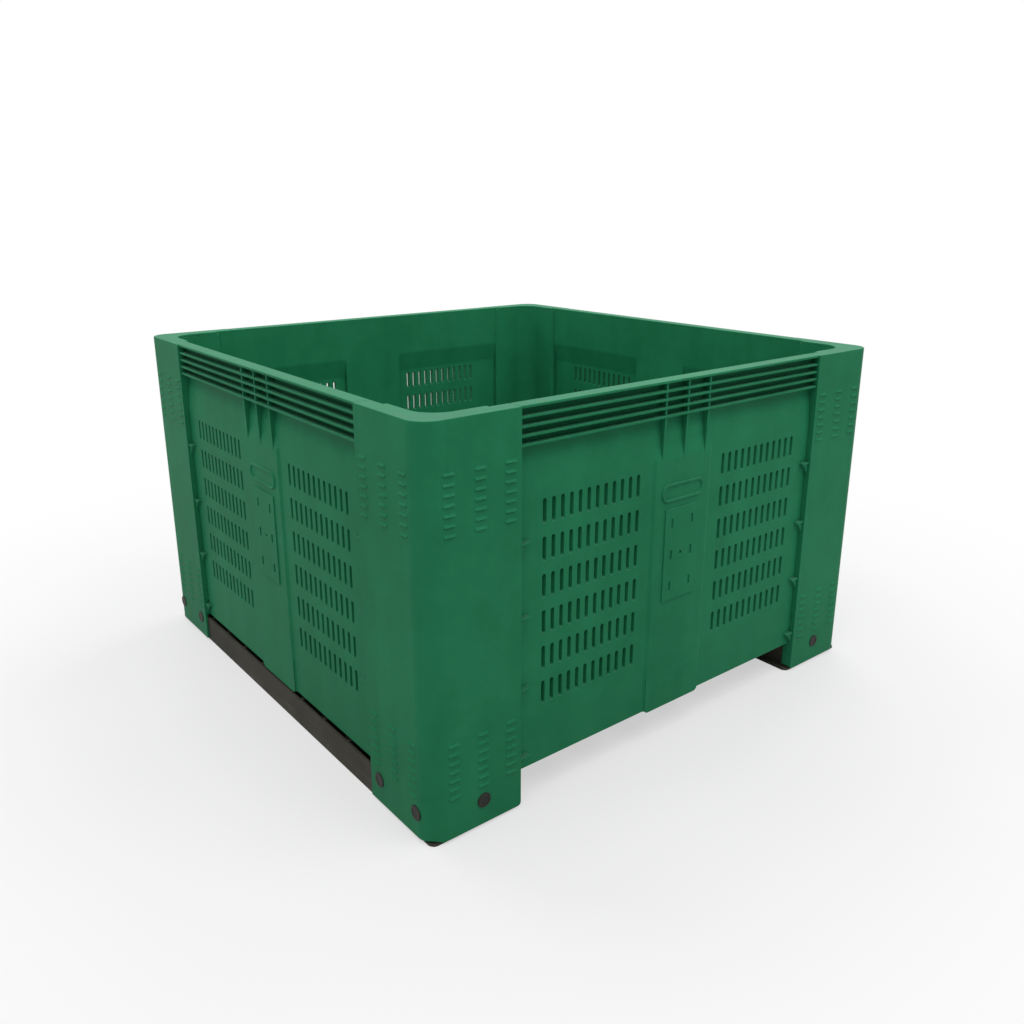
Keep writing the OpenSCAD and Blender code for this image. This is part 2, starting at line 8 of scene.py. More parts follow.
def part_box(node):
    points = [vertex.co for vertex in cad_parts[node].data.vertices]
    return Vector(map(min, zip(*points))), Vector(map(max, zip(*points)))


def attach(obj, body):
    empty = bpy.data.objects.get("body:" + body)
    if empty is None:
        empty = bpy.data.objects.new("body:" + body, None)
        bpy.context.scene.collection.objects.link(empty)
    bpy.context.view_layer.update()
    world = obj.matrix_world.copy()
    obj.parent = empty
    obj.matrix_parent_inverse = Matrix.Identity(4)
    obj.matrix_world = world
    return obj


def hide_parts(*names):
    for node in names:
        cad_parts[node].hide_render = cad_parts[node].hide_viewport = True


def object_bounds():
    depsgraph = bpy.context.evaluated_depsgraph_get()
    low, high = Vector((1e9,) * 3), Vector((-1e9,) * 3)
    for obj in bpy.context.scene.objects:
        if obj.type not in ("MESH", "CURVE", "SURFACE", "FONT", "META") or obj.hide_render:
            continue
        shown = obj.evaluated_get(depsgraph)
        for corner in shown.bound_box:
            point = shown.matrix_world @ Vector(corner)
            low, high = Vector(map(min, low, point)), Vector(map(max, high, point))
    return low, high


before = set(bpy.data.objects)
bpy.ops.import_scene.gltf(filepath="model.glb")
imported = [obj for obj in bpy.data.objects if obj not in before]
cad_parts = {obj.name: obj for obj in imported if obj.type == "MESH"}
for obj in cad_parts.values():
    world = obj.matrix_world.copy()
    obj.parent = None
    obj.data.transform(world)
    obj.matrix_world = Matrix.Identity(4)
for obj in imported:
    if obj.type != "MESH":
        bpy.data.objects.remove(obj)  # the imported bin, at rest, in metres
cadLow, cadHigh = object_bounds()
scene = bpy.context.scene
scene.view_settings.view_transform = "Standard"

mm = 0.001
fitGap = 0.3 * mm
slack = 1 * mm  # for telling edges apart by their place
lap = 1 * mm  # how far one body of a piece reaches into the next
hairline = 0.01 * mm  # points closer than this fall together
softTurn = math.radians(20)  # edges that turn more than this are shaded crisp
crispTurn = math.radians(28)  # edges that turn more than this can be rounded
flatTurn = math.radians(0.5)  # faces that turn less than this are one face
sides = ["front", "right", "back", "left"]
corners = {"front_left": (1, 1), "front_right": (-1, 1), "back_left": (1, -1), "back_right": (-1, -1)}

# places that the pieces are drawn from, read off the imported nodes
beadProud = 2.5 * mm
half = cadHigh.x - beadProud
binTop = cadHigh.z
postLow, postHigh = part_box("corner_post_front_left")
panelLow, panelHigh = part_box("side_panel_front")
linerLow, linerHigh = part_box("corner_liner_front_left")
deckLow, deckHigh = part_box("floor_deck")
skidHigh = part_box("skid_left")[1]
pinLow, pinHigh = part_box("end_pin_front_left")
postWidth = half + postHigh.x
panelHalf = half - postWidth - fitGap
tongueHalf = panelHigh.x
print("frame read: bin", round(2 * half, 3), "m wide,", round(binTop, 3), "m high")

cameraSetup = {
    "place": (-1.3015, -1.7002, 1.0478),
    "turn": 38.516,  # degrees from +Y towards +X
    "dip": 16.764,  # degrees below level
    "lens": 32.21,
    "sensor": 36,
    "shiftUp": -0.0317,
    "farthest": 60,
}


def linked(name, data):
    made = bpy.data.objects.new(name, data)
    scene.collection.objects.link(made)
    return made


def addCamera(setup):
    lens = bpy.data.cameras.new("binCamera")
    lens.sensor_width = setup["sensor"]
    lens.lens = setup["lens"]
    lens.shift_y = setup["shiftUp"]
    lens.clip_end = setup["farthest"]
    camera = linked("binCamera", lens)
    camera.location = setup["place"]
    camera.rotation_euler = (math.radians(90 - setup["dip"]), 0, -math.radians(setup["turn"]))
    scene.camera = camera


addCamera(cameraSetup)
print("camera set")


class Tone:
    # one socket of a node tree, so that maths on it reads as plain sums
    def __init__(self, graph, socket):
        self.graph = graph
        self.socket = socket

    def maths(self, operation, first, second):
        return self.graph.node("ShaderNodeMath", {0: first, 1: second}, {"operation": operation})

    def __add__(self, other):
        return self.maths("ADD", self, other)

    def __sub__(self, other):
        return self.maths("SUBTRACT", self, other)

    def __rsub__(self, other):
        return self.maths("SUBTRACT", other, self)

    def __mul__(self, other):
        return self.maths("MULTIPLY", self, other)

    __radd__ = __add__
    __rmul__ = __mul__


class Graph:
    def __init__(self, tree):
        self.tree = tree
        tree.nodes.clear()

    def node(self, kind, sockets=None, settings=None, out=0):
        made = self.tree.nodes.new(kind)
        for key, value in (settings or {}).items():
            setattr(made, key, value)
        for key, value in (sockets or {}).items():
            if isinstance(value, Tone):
                self.tree.links.new(value.socket, made.inputs[key])
            else:
                made.inputs[key].default_value = value
        return Tone(self, made.outputs[out]) if made.outputs else None

    def place(self, scale=(1, 1, 1), turn=(0, 0, 0)):
        where = self.node("ShaderNodeTexCoord", out="Object")
        return self.node("ShaderNodeMapping", {"Vector": where, "Scale": scale, "Rotation": turn})

    def noise(self, where, scale, detail=3, rough=0.5):
        sockets = {"Vector": where, "Scale": scale, "Detail": detail, "Roughness": rough}
        return self.node("ShaderNodeTexNoise", sockets)

    def ramp(self, value, low, high):
        # 0 at low and 1 at high, with soft ends
        sockets = {"Value": value, "From Min": low, "From Max": high}
        return self.node("ShaderNodeMapRange", sockets, {"interpolation_type": "SMOOTHSTEP"})

    def mixed(self, share, first, second):
        return self.node("ShaderNodeMix", {0: share, 6: first, 7: second}, {"data_type": "RGBA"}, out=2)

    def edges(self, radius):
        # 0 on flats, more where the surface turns within the radius
        rounded = self.node("ShaderNodeBevel", {"Radius": radius}, {"samples": 6})
        straight = self.node("ShaderNodeNewGeometry", out="Normal")
        dot = {"operation": "DOT_PRODUCT"}
        return 1 - self.node("ShaderNodeVectorMath", {0: rounded, 1: straight}, dot, out="Value")

    def axis(self, vector, index):
        return self.node("ShaderNodeSeparateXYZ", {0: vector}, out=index)

    def seenRay(self):
        # camera, mirror and see-through rays meet the white backdrop
        path = self.node("ShaderNodeLightPath", out="Is Camera Ray")
        lightPath = path.socket.node
        mirror = Tone(self, lightPath.outputs["Is Glossy Ray"])
        through = Tone(self, lightPath.outputs["Is Transmission Ray"])
        return path.maths("MAXIMUM", path.maths("MAXIMUM", path, mirror), through)

    def together(self, *parts):
        whole = self.node("GeometryNodeJoinGeometry")
        for part in parts:
            self.tree.links.new(part.socket, whole.socket.node.inputs[0])
        return whole

    def output(self, kind, result):
        self.node(kind, {0: result})


def paint(red, green, blue):
    # a colour as a paint program gives it, 0 to 255, turned to linear light
    def linear(value):
        value /= 255
        return value / 12.92 if value <= 0.04045 else ((value + 0.055) / 1.055) ** 2.4
    return (linear(red), linear(green), linear(blue), 1)


def newFinish(name):
    material = bpy.data.materials.new(name)
    material.use_nodes = True
    graph = Graph(material.node_tree)
    return material, graph, graph.place()


def moulded(graph, look, colour, rough, height):
    sockets = {"Strength": look["bumpShare"], "Distance": look["bumpDeep"], "Height": height}
    bump = graph.node("ShaderNodeBump", sockets)
    sockets = {"Base Color": colour, "Roughness": rough, "Normal": bump,
               "Specular IOR Level": look["level"]}
    graph.output("ShaderNodeOutputMaterial", graph.node("ShaderNodeBsdfPrincipled", sockets))


# Green moulded polyethylene: satin, uneven in colour, paler where edges have rubbed, with a painted
# sheen of the top light greying the upward faces
greenLook = {
    "deep": paint(25, 102, 67),
    "fresh": paint(33, 115, 78),
    "rubbed": paint(62, 142, 104),
    # grey of the painted sheen that the top light would lay on upward faces
    "topSheen": paint(74, 94, 88),
    "earth": paint(38, 88, 56),
    "edgeRadius": 2.2 * mm,
    "cloud": 2.3,  # patches, blotches and grains to a metre
    "blotch": 17,
    "grain": 620,
    # least share of the painted top sheen, and how much more some blotches get
    "topSheenLeast": 0.2,
    "topSheenMore": 0.25,
    "soilHeight": 0.2,
    "soil": 0.3,
    "scuffs": 0.14,
    "rub": 0.5,
    "rough": 0.46,
    "bumpShare": 0.35,
    "bumpDeep": 0.35 * mm,
    "level": 0.06,
}


def makeGreen(look):
    material, graph, where = newFinish("binGreen")
    cloud = graph.noise(where, look["cloud"], 4, 0.55)
    blotch = graph.noise(where, look["blotch"], 4, 0.6)
    flow = graph.noise(graph.place((21, 21, 1.3)), 1, 3, 0.5)
    grain = graph.noise(where, look["grain"], 2, 0.5)
    scuff = graph.noise(graph.place((9, 9, 160), (0.5, 0.3, 0)), 1, 4, 0.7)
    height = graph.axis(where, 2)
    upward = graph.axis(graph.node("ShaderNodeNewGeometry", out="Normal"), 2)
    tone = cloud * 0.5 + blotch * 0.3 + flow * 0.2
    colour = graph.mixed(graph.ramp(tone, 0.34, 0.66), look["deep"], look["fresh"])
    # painted sheen: upward faces greyed the way the overhead light's reflection greys them, more in some
    # blotches, and rougher there
    uneven = look["topSheenLeast"] + graph.ramp(blotch, 0.35, 0.75) * look["topSheenMore"]
    paintedTopSheen = graph.ramp(upward, 0.6, 1) * uneven
    colour = graph.mixed(paintedTopSheen, colour, look["topSheen"])
    low = graph.ramp(height, look["soilHeight"], 0)
    soiled = low * graph.ramp(blotch, 0.45, 0.75) * look["soil"]
    colour = graph.mixed(soiled, colour, look["earth"])
    scratched = graph.ramp(scuff, 0.66, 0.74) * graph.ramp(cloud, 0.42, 0.6) * look["scuffs"]
    rubbed = graph.ramp(graph.edges(look["edgeRadius"]), 0.02, 0.3) * graph.ramp(blotch, 0.3, 0.68)
    colour = graph.mixed(rubbed * look["rub"] + scratched, colour, look["rubbed"])
    rough = look["rough"] + blotch * 0.1 + grain * 0.06 + paintedTopSheen * 0.3 + scratched * 0.5
    bump = grain * 0.5 + blotch * 0.9 + scratched * -1.5
    moulded(graph, look, colour, rough, bump)
    return material


# Recycled black plastic of the skids, greyed and scored where they slide
skidLook = {
    "dark": paint(47, 46, 41),
    "worn": paint(63, 61, 54),
    "dust": paint(104, 100, 88),
    "edgeRadius": 3 * mm,
    "cloud": 6,
    "speck": 240,
    "scores": 0.3,
    "rub": 0.4,
    "dustHeight": 0.03,
    "dustShare": 0.25,
    "rough": 0.58,
    "bumpShare": 0.5,
    "bumpDeep": 0.4 * mm,
    "level": 0.12,
}


def makeSkidBlack(look):
    material, graph, where = newFinish("skidBlack")
    cloud = graph.noise(where, look["cloud"], 4, 0.6)
    speck = graph.noise(where, look["speck"], 3, 0.6)
    score = graph.noise(graph.place((150, 2.5, 150)), 1, 4, 0.65)
    height = graph.axis(where, 2)
    colour = graph.mixed(graph.ramp(cloud * 0.6 + speck * 0.4, 0.36, 0.64), look["dark"], look["worn"])
    scored = graph.ramp(score, 0.58, 0.72) * graph.ramp(cloud, 0.35, 0.6)
    rubbed = graph.ramp(graph.edges(look["edgeRadius"]), 0.02, 0.35) * graph.ramp(speck, 0.25, 0.6)
    dusty = graph.ramp(height, look["dustHeight"], 0) * graph.ramp(cloud, 0.4, 0.7)
    pale = scored * look["scores"] + rubbed * look["rub"] + dusty * look["dustShare"]
    colour = graph.mixed(pale, colour, look["dust"])
    rough = look["rough"] + speck * 0.2 - scored * 0.1
    moulded(graph, look, colour, rough, speck * 0.6 - scored)
    return material


# Black push pins, a little glossier than the skids
pinLook = {
    "dark": paint(30, 30, 26),
    "worn": paint(66, 64, 56),
    "edgeRadius": 1.2 * mm,
    "cloud": 60,
    "speck": 900,
    "rub": 0.8,
    "fade": 0.35,
    "rough": 0.42,
    "bumpShare": 0.4,
    "bumpDeep": 0.25 * mm,
    "level": 0.2,
}


def makePinBlack(look):
    material, graph, where = newFinish("pinBlack")
    cloud = graph.noise(where, look["cloud"], 3, 0.6)
    speck = graph.noise(where, look["speck"], 2, 0.5)
    rubbed = graph.ramp(graph.edges(look["edgeRadius"]), 0.03, 0.4) * graph.ramp(cloud, 0.3, 0.6)
    pale = rubbed * look["rub"] + graph.ramp(cloud, 0.5, 0.8) * look["fade"]
    colour = graph.mixed(pale, look["dark"], look["worn"])
    moulded(graph, look, colour, look["rough"] + cloud * 0.2, speck * 0.6 + cloud)
    return material


binGreen = makeGreen(greenLook)
skidBlack = makeSkidBlack(skidLook)
pinBlack = makePinBlack(pinLook)
print("finishes made")


def newTree(name, inputs):
    tree = bpy.data.node_groups.new(name, "GeometryNodeTree")
    tree.interface.new_socket("Geometry", in_out="OUTPUT", socket_type="NodeSocketGeometry")
    for label, kind in [("Geometry", "Geometry")] + inputs:
        tree.interface.new_socket(label, in_out="INPUT", socket_type="NodeSocket" + kind)
    graph = Graph(tree)
    start = tree.nodes.new("NodeGroupInput")
    return graph, lambda label: Tone(graph, start.outputs[label])


def finishTree(graph, geometry, material):
    real = graph.node("GeometryNodeRealizeInstances", {"Geometry": geometry})
    done = graph.node("GeometryNodeSetMaterial", {"Geometry": real, "Material": material})
    graph.output("NodeGroupOutput", done)
    return graph.tree


rowInputs = [("Across", "Int"), ("Across Step", "Vector"), ("Up", "Int"), ("Up Step", "Vector"),
             ("Groups", "Int"), ("Group Step", "Vector"), ("Material", "Material")]


def inRows(graph, pick, geometry):
    # the shape set out across, then up, then in groups, each from its first place on
    for count, step in (("Across", "Across Step"), ("Up", "Up Step"), ("Groups", "Group Step")):
        sockets = {"Count": pick(count), "Offset": pick(step)}
        line = graph.node("GeometryNodeMeshLine", sockets, {"mode": "OFFSET"})
        geometry = graph.node("GeometryNodeInstanceOnPoints", {"Points": line, "Instance": geometry})
    return geometry


def makeRowsTree():
    graph, pick = newTree("setInRows", rowInputs)
    return finishTree(graph, inRows(graph, pick, pick("Geometry")), pick("Material"))


def makeSlottedTree():
    # a thick sheet inside the loops it is given, with rows of round-ended slots
    inputs = [("Slot Width", "Float"), ("Slot Length", "Float"), ("Slot Turns", "Int"),
              ("First Slot", "Vector"), ("Thickness", "Float")]
    graph, pick = newTree("slottedPlate", inputs + rowInputs)
    sockets = {"Width": pick("Slot Width"), "Height": pick("Slot Length")}
    box = graph.node("GeometryNodeCurvePrimitiveQuadrilateral", sockets)
    narrow = box.maths("MINIMUM", pick("Slot Width"), pick("Slot Length"))
    sockets = {"Curve": box, "Count": pick("Slot Turns"), "Radius": narrow * 0.49}
    slot = graph.node("GeometryNodeFilletCurve", sockets, {"mode": "POLY"})
    first = graph.node("GeometryNodeTransform", {"Geometry": slot, "Translation": pick("First Slot")})
    slots = graph.node("GeometryNodeRealizeInstances", {"Geometry": inRows(graph, pick, first)})
    loops = graph.node("GeometryNodeMeshToCurve", {"Mesh": pick("Geometry")})
    lines = graph.together(slots, loops)
    sheet = graph.node("GeometryNodeFillCurve", {"Curve": lines}, {"mode": "NGONS"})
    sockets = {"Mesh": sheet, "Offset Scale": pick("Thickness"), "Individual": False}
    raised = graph.node("GeometryNodeExtrudeMesh", sockets)
    under = graph.node("GeometryNodeFlipFaces", {"Mesh": sheet})
    both = graph.together(raised, under)
    closed = graph.node("GeometryNodeMergeByDistance", {"Geometry": both, "Distance": 2 * hairline})
    return finishTree(graph, closed, pick("Material"))


def makePipingTree():
    # a round bead that follows the loop it is given
    graph, pick = newTree("beadOnPath", [("Radius", "Float"), ("Material", "Material")])
    path = graph.node("GeometryNodeMeshToCurve", {"Mesh": pick("Geometry")})
    sockets = {"Resolution": 14, "Radius": pick("Radius")}
    ring = graph.node("GeometryNodeCurvePrimitiveCircle", sockets)
    bead = graph.node("GeometryNodeCurveToMesh", {"Curve": path, "Profile Curve": ring})
    return finishTree(graph, bead, pick("Material"))


rowsTree = makeRowsTree()
slottedTree = makeSlottedTree()
pipingTree = makePipingTree()
print("node trees made")


def asMesh(name, bm):
    mesh = bpy.data.meshes.new(name)
    bm.to_mesh(mesh)
    bm.free()
    return mesh


def settledMesh(holder):
    settled = bpy.context.evaluated_depsgraph_get()
    return bpy.data.meshes.new_from_object(holder.evaluated_get(settled), depsgraph=settled)


def grown(bm, tree, values):
    # runs a node tree on a mesh and gives the plain result back
    holder = linked(tree.name, asMesh(tree.name, bm))
    modifier = holder.modifiers.new(tree.name, "NODES")
    modifier.node_group = tree
    for item in tree.interface.items_tree:
        if item.in_out == "INPUT" and item.name in values:
            modifier[item.identifier] = values[item.name]
    plain = settledMesh(holder)
    bpy.data.objects.remove(holder)
    result = bmesh.new()
    result.from_mesh(plain)
    bpy.data.meshes.remove(plain)
    return result


def rows(bm, material, across=1, acrossStep=(0, 0, 0), up=1, upStep=(0, 0, 0),
         groups=1, groupStep=(0, 0, 0)):
    return grown(bm, rowsTree, {
        "Across": across, "Across Step": acrossStep, "Up": up, "Up Step": upStep,
        "Groups": groups, "Group Step": groupStep, "Material": material})


def facingOut(bm):
    bmesh.ops.recalc_face_normals(bm, faces=bm.faces[:])
    return bm


def stitch(bm, low, high):
    # a strip of faces between two closed rings of points
    for i in range(len(low)):
        bm.faces.new((low[i - 1], low[i], high[i], high[i - 1]))


def prism(outline, spread):
    bm = bmesh.new()
    near = [bm.verts.new(point) for point in outline]
    far = [bm.verts.new(Vector(point) + Vector(spread)) for point in outline]
    bm.faces.new(near)
    bm.faces.new(far)
    stitch(bm, near, far)
    return facingOut(bm)


def loft(rings):
    # a closed body through rings of as many points, some of which may fall together
    bm = bmesh.new()
    levels = [[bm.verts.new(point) for point in ring] for ring in rings]
    for low, high in zip(levels, levels[1:]):
        stitch(bm, low, high)
    bm.faces.new(levels[0])
    bm.faces.new(levels[-1])
    bmesh.ops.remove_doubles(bm, verts=bm.verts[:], dist=hairline)
    bmesh.ops.dissolve_limit(bm, angle_limit=flatTurn, verts=bm.verts[:], edges=bm.edges[:])
    return facingOut(bm)


def soften(bm, width, steps=2, only=None):
    # rounds the crisp edges, or those of them that only() takes
    crisp = [e for e in bm.edges if e.is_manifold and e.calc_face_angle() > crispTurn]
    chosen = [e for e in crisp if only is None or only(e)]
    bmesh.ops.bevel(bm, geom=chosen, offset=width, offset_type="OFFSET", segments=steps,
                    profile=0.5, affect="EDGES", clamp_overlap=True)
    return bm


def cutAway(bm, point, keep):
    # cuts along a plane, keeps the side that keep points to, and closes the cut
    everything = bm.verts[:] + bm.edges[:] + bm.faces[:]
    cut = bmesh.ops.bisect_plane(bm, geom=everything, dist=hairline / 10, plane_co=point, plane_no=keep,
                                 clear_inner=True)
    rim = [part for part in cut["geom_cut"] if isinstance(part, bmesh.types.BMEdge)]
    bmesh.ops.holes_fill(bm, edges=rim)
    return facingOut(bm)


def moved(bm, matrix):
    bmesh.ops.transform(bm, matrix=matrix, verts=bm.verts[:])
    return facingOut(bm)


def withMirror(bm, axis=(1, 0, 0)):
    return [moved(bm.copy(), Matrix.Scale(-1, 4, axis)), bm]


def joined(parts):
    whole = bpy.data.meshes.new("joined")
    bm = bmesh.new()
    for part in parts:
        part.to_mesh(whole)
        part.free()
        bm.from_mesh(whole)
    bpy.data.meshes.remove(whole)
    return bm


def evenShading(piece):
    # normals follow the larger faces, so that rounded edges don't tint the flats
    modifier = piece.modifiers.new("evenShading", "WEIGHTED_NORMAL")
    modifier.keep_sharp = True
    plain = settledMesh(piece)
    piece.modifiers.remove(modifier)
    rough = piece.data
    piece.data = plain
    bpy.data.meshes.remove(rough)


def dress(name, bm, material, slotName, *nodes):
    # turns a finished shape into the piece that stands for its CAD nodes
    mesh = asMesh(name, bm)
    mesh.materials.clear()
    mesh.materials.append(material)
    mesh.shade_smooth()
    mesh.set_sharp_from_angle(angle=softTurn)
    piece = linked(name, mesh)
    evenShading(piece)
    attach(piece, "root")
    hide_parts(*nodes)
    return piece


def arc(centre, radius, start, end, steps=20):
    turns = [math.radians(start + (end - start) * i / steps) for i in range(steps + 1)]
    return [(centre[0] + radius * math.cos(a), centre[1] + radius * math.sin(a)) for a in turns]


def slotLoop(x, y, width, length, steps=6):
    r = width / 2
    rise = (length - width) / 2
    return arc((x, y + rise), r, 0, 180, steps) + arc((x, y - rise), r, 180, 360, steps)


def wire(loops):
    bm = bmesh.new()
    for loop in loops:
        points = [bm.verts.new((x, y, 0)) for x, y in loop]
        for i in range(len(points)):
            bm.edges.new((points[i - 1], points[i]))
    return bm


def alongWall(outline, start, end):
    # depth and height outline, run along the front wall
    return prism([(start, -half + d, z) for d, z in outline], (end - start, 0, 0))


def throughWall(outline, near, far):
    # outline on the front wall's face, given a depth
    return prism([(u, -half + near, z) for u, z in outline], (0, far - near, 0))


def rectangle(x0, y0, x1, y1):
    return [(x0, y0), (x1, y0), (x1, y1), (x0, y1)]


liner = {
    "depth": 41 * mm,
    "thick": 4.5 * mm,
    "round": 50 * mm,
    "start": postWidth - (tongueHalf + fitGap - panelHalf) + fitGap,
    "bendDrop": 1.2 * mm,  # the slope's back turns lower than its face
    "soft": 1.5 * mm,
}


# Side panels: one sheet with slots, slope and rim, drawn on the front and turned to each side
panel = {
    "recess": 12 * mm,  # face behind the posts
    "thick": 4.5 * mm,
    "slopeLow": binTop - 151 * mm,
    "kneeHigh": binTop - 103 * mm,  # the slope turns steep here
    "kneeDepth": 15.5 * mm,
    "slopeHigh": binTop - 86 * mm,
    "bend": 6 * mm,
    "skinLow": binTop - 108 * mm,  # the inner skin turns outwards here, to the slot fields
    "setback": 3 * mm,  # rim and rib edges behind the posts
    "rimWide": 30.5 * mm,
    "rimThick": 5 * mm,
    "ribs": 4,
    "ribThick": 4.5 * mm,
    "ribPitch": 15.7 * mm,
    "ribDrop": 19.5 * mm,
    "ribDepth": 17 * mm,
    "finPlaces": 3,
    "finPitch": 60 * mm,
    "finThick": 4.5 * mm,
    "finDrop": 161 * mm,
    "finSetback": 5.5 * mm,
    "rimSoft": 1.4 * mm,
    "bandHalf": 75 * mm,  # at its face; the sides run out on the wall
    "bandFoot": 83 * mm,
    "bandRise": 3.5 * mm,
    "tabHalf": 79 * mm,
    "tabHigh": 78 * mm,
    "tabDrop": 5 * mm,
    "tabRound": 10 * mm,
    "tabProud": 0.4 * mm,  # keeps its face off the band's plane
    "columnHalf": 86 * mm,
    "ringWide": 113 * mm,  # along the middle of its bead
    "ringHigh": 31 * mm,
    "ringBead": 3.1 * mm,
    "ringDrop": 219 * mm,
    "cardWide": 94 * mm,
    "cardHigh": 190 * mm,
    "cardRise": 2.4 * mm,
    "cardDrop": 346 * mm,
    "cardSoft": 0.7 * mm,
    "tieWide": 7 * mm,
    "tieLong": 20 * mm,
    "tieAcross": 28.2 * mm,
    "tieUp": 64.6 * mm,
    "cardHole": 6 * mm,
    "ventWide": 8.5 * mm,
    "ventLong": 45 * mm,
    "ventPitch": 20.5 * mm,
    "ventRise": 68.6 * mm,
    "ventStart": 120 * mm,
    "ventLift": 139 * mm,  # first row over the panel's lower edge
    "ventColumns": 12,
    "ventRows": 6,
    "ventDeep": 12.5 * mm,
    "ventFrame": 12 * mm,  # thick field below its lowest slots
    "ventHead": 3 * mm,  # from the field up to the slope's bend, and to the skin's
    "skinInset": 0.1 * mm,  # keeps the skin off the planes of rim and fields
    "flankInset": 0.2 * mm,
    "hookWide": 22 * mm,
    "hookThick": 5 * mm,
    "hookSetback": 2.5 * mm,
    "hookGusset": 24 * mm,
    "gussetShare": 0.8,  # of the hook's width
    "hookPitch": 136 * mm,
    "hookLift": 28 * mm,
    "hooks": 4,
    "ledgeWide": 24 * mm,
    "ledgeThick": 5 * mm,
    "ledgeSoft": 0.8 * mm,
    "tongueGap": 9 * mm,  # from the floor to the edges that the posts hold
    "soft": 1.1 * mm,
    "slotSoft": 0.6 * mm,
}
upperDepth = panel["setback"] + panel["ribDepth"]
innerDepth = panel["setback"] + panel["rimWide"]
skinDepth = innerDepth - panel["thick"]
lowInnerDepth = panel["recess"] + panel["thick"]
buried = panel["thick"] / 2
wallMiddle = panel["recess"] + buried
wallHead = panel["slopeLow"] - panel["bend"]  # the flat wall ends here
panelBottom = panelLow.z + panel["tabDrop"]
deckPlateLow = deckHigh.z - panel["ledgeThick"]
tongueBottom = deckHigh.z + panel["tongueGap"]
bandDepth = panel["recess"] - panel["bandRise"]
lowestRib = binTop - panel["ribDrop"] - (panel["ribs"] - 1) * panel["ribPitch"]
cardMiddle = binTop - panel["cardDrop"]
wallTop = binTop - panel["rimThick"] - fitGap
rimMiddle = binTop - panel["rimThick"] / 2
skinReach = half - liner["start"] - (liner["depth"] - innerDepth)  # up to the liners' edges
slopeCorners = [(panel["recess"], panel["slopeLow"]), (panel["kneeDepth"], panel["kneeHigh"]),
                (upperDepth, panel["slopeHigh"])]
slopeMiddle = [(d + buried, z) for d, z in slopeCorners]


def bentLine(points, off=0):
    # depths and heights along a line with rounded corners, from its first bend on
    turns = 4
    leans = [math.atan2(b[0] - a[0], b[1] - a[1]) for a, b in zip(points, points[1:])]
    spots = []
    for (d, z), before, after in zip(points[1:], leans, leans[1:]):
        for i in range(turns + 1):
            share = i / turns
            lean = before + (after - before) * share
            lead = panel["bend"] * (1 - share) ** 2
            trail = panel["bend"] * share ** 2
            spot = Vector((d - lead * math.sin(before) + trail * math.sin(after),
                           z - lead * math.cos(before) + trail * math.cos(after)))
            spots.append(spot + Vector((math.cos(lean), -math.sin(lean))) * off)
    spots.append(Vector(points[-1]) + Vector((math.cos(leans[-1]), -math.sin(leans[-1]))) * off)
    return spots[1:]


def onFace(depth, up=0):
    # stands a flat drawing up on the front wall, at a depth behind the post faces
    return Matrix(((1, 0, 0, 0), (0, 0, 1, -half + depth), (0, 1, 0, up), (0, 0, 0, 1)))


def cutSheet(loops, near, far):
    # only the loops it is given are cut, so no rows of slots
    values = {
        "Across": 0, "Up": 0, "Groups": 0, "Slot Turns": 1,
        "Slot Width": panel["tieWide"], "Slot Length": panel["tieLong"],
        "Thickness": far - near, "Material": binGreen}
    return moved(grown(wire(loops), slottedTree, values), onFace(near))


def wallSheet(loops, near, far, fronts, backs, spread=0):
    # a flat sheet with openings, wider at its back, whose upper edge is drawn on along two lines
    bm = cutSheet(loops, near, far)
    wide = max(vert.co.x for vert in bm.verts)
    for vert in bm.verts:
        if abs(vert.co.x) > wide - slack and vert.co.y > -half + (near + far) / 2:
            vert.co.x += math.copysign(spread, vert.co.x)
    head = max(bm.faces, key=lambda face: face.calc_center_median().z)
    for front, back in zip(fronts, backs):
        head = bmesh.ops.extrude_discrete_faces(bm, faces=[head])["faces"][0]
        byDepth = sorted(head.verts, key=lambda vert: vert.co.y)
        for vert, spot in zip(byDepth, (front, front, back, back)):
            vert.co.y = -half + spot.x
            vert.co.z = spot.y
    return facingOut(bm)


def ventField():
    # the right-hand field of slots, from the column to the liner: left, low, right, high
    low = panelBottom + panel["ventLift"] - panel["ventLong"] / 2 - panel["ventFrame"]
    return panel["columnHalf"] - panel["thick"], low, skinReach, wallHead - panel["ventHead"]


def makeVents():
    # the thick field in its opening of the wall, flush in front
    values = {
        "Slot Width": panel["ventWide"], "Slot Length": panel["ventLong"], "Slot Turns": 6,
        "First Slot": (panel["ventStart"], panelBottom + panel["ventLift"], 0),
        "Across": panel["ventColumns"], "Across Step": (panel["ventPitch"], 0, 0),
        "Up": panel["ventRows"], "Up Step": (0, panel["ventRise"], 0),
        "Groups": 1, "Group Step": (0, 0, 0),
        "Thickness": panel["ventDeep"], "Material": binGreen}
    left, low, right, high = ventField()
    outline = rectangle(left, low, right, high)
    field = moved(grown(wire([outline]), slottedTree, values), onFace(panel["recess"]))

    def inside(vert):
        return left + slack < vert.co.x < right - slack and low + slack < vert.co.z < high - slack

    def rounded(edge):
        behind = all(vert.co.y > -half + panel["recess"] + slack for vert in edge.verts)
        return behind or all(inside(vert) for vert in edge.verts)

    return withMirror(soften(field, panel["slotSoft"], 2, rounded))


def holeLoop():
    return arc((0, cardMiddle), panel["cardHole"] / 2, 0, 345, 23)


def cardLoops():
    loops = [holeLoop()]
    for across in (-1, 1):
        for up in (-1, 0, 1):
            spot = (across * panel["tieAcross"], cardMiddle + up * panel["tieUp"])
            loops.append(slotLoop(*spot, panel["tieWide"], panel["tieLong"]))
    return loops


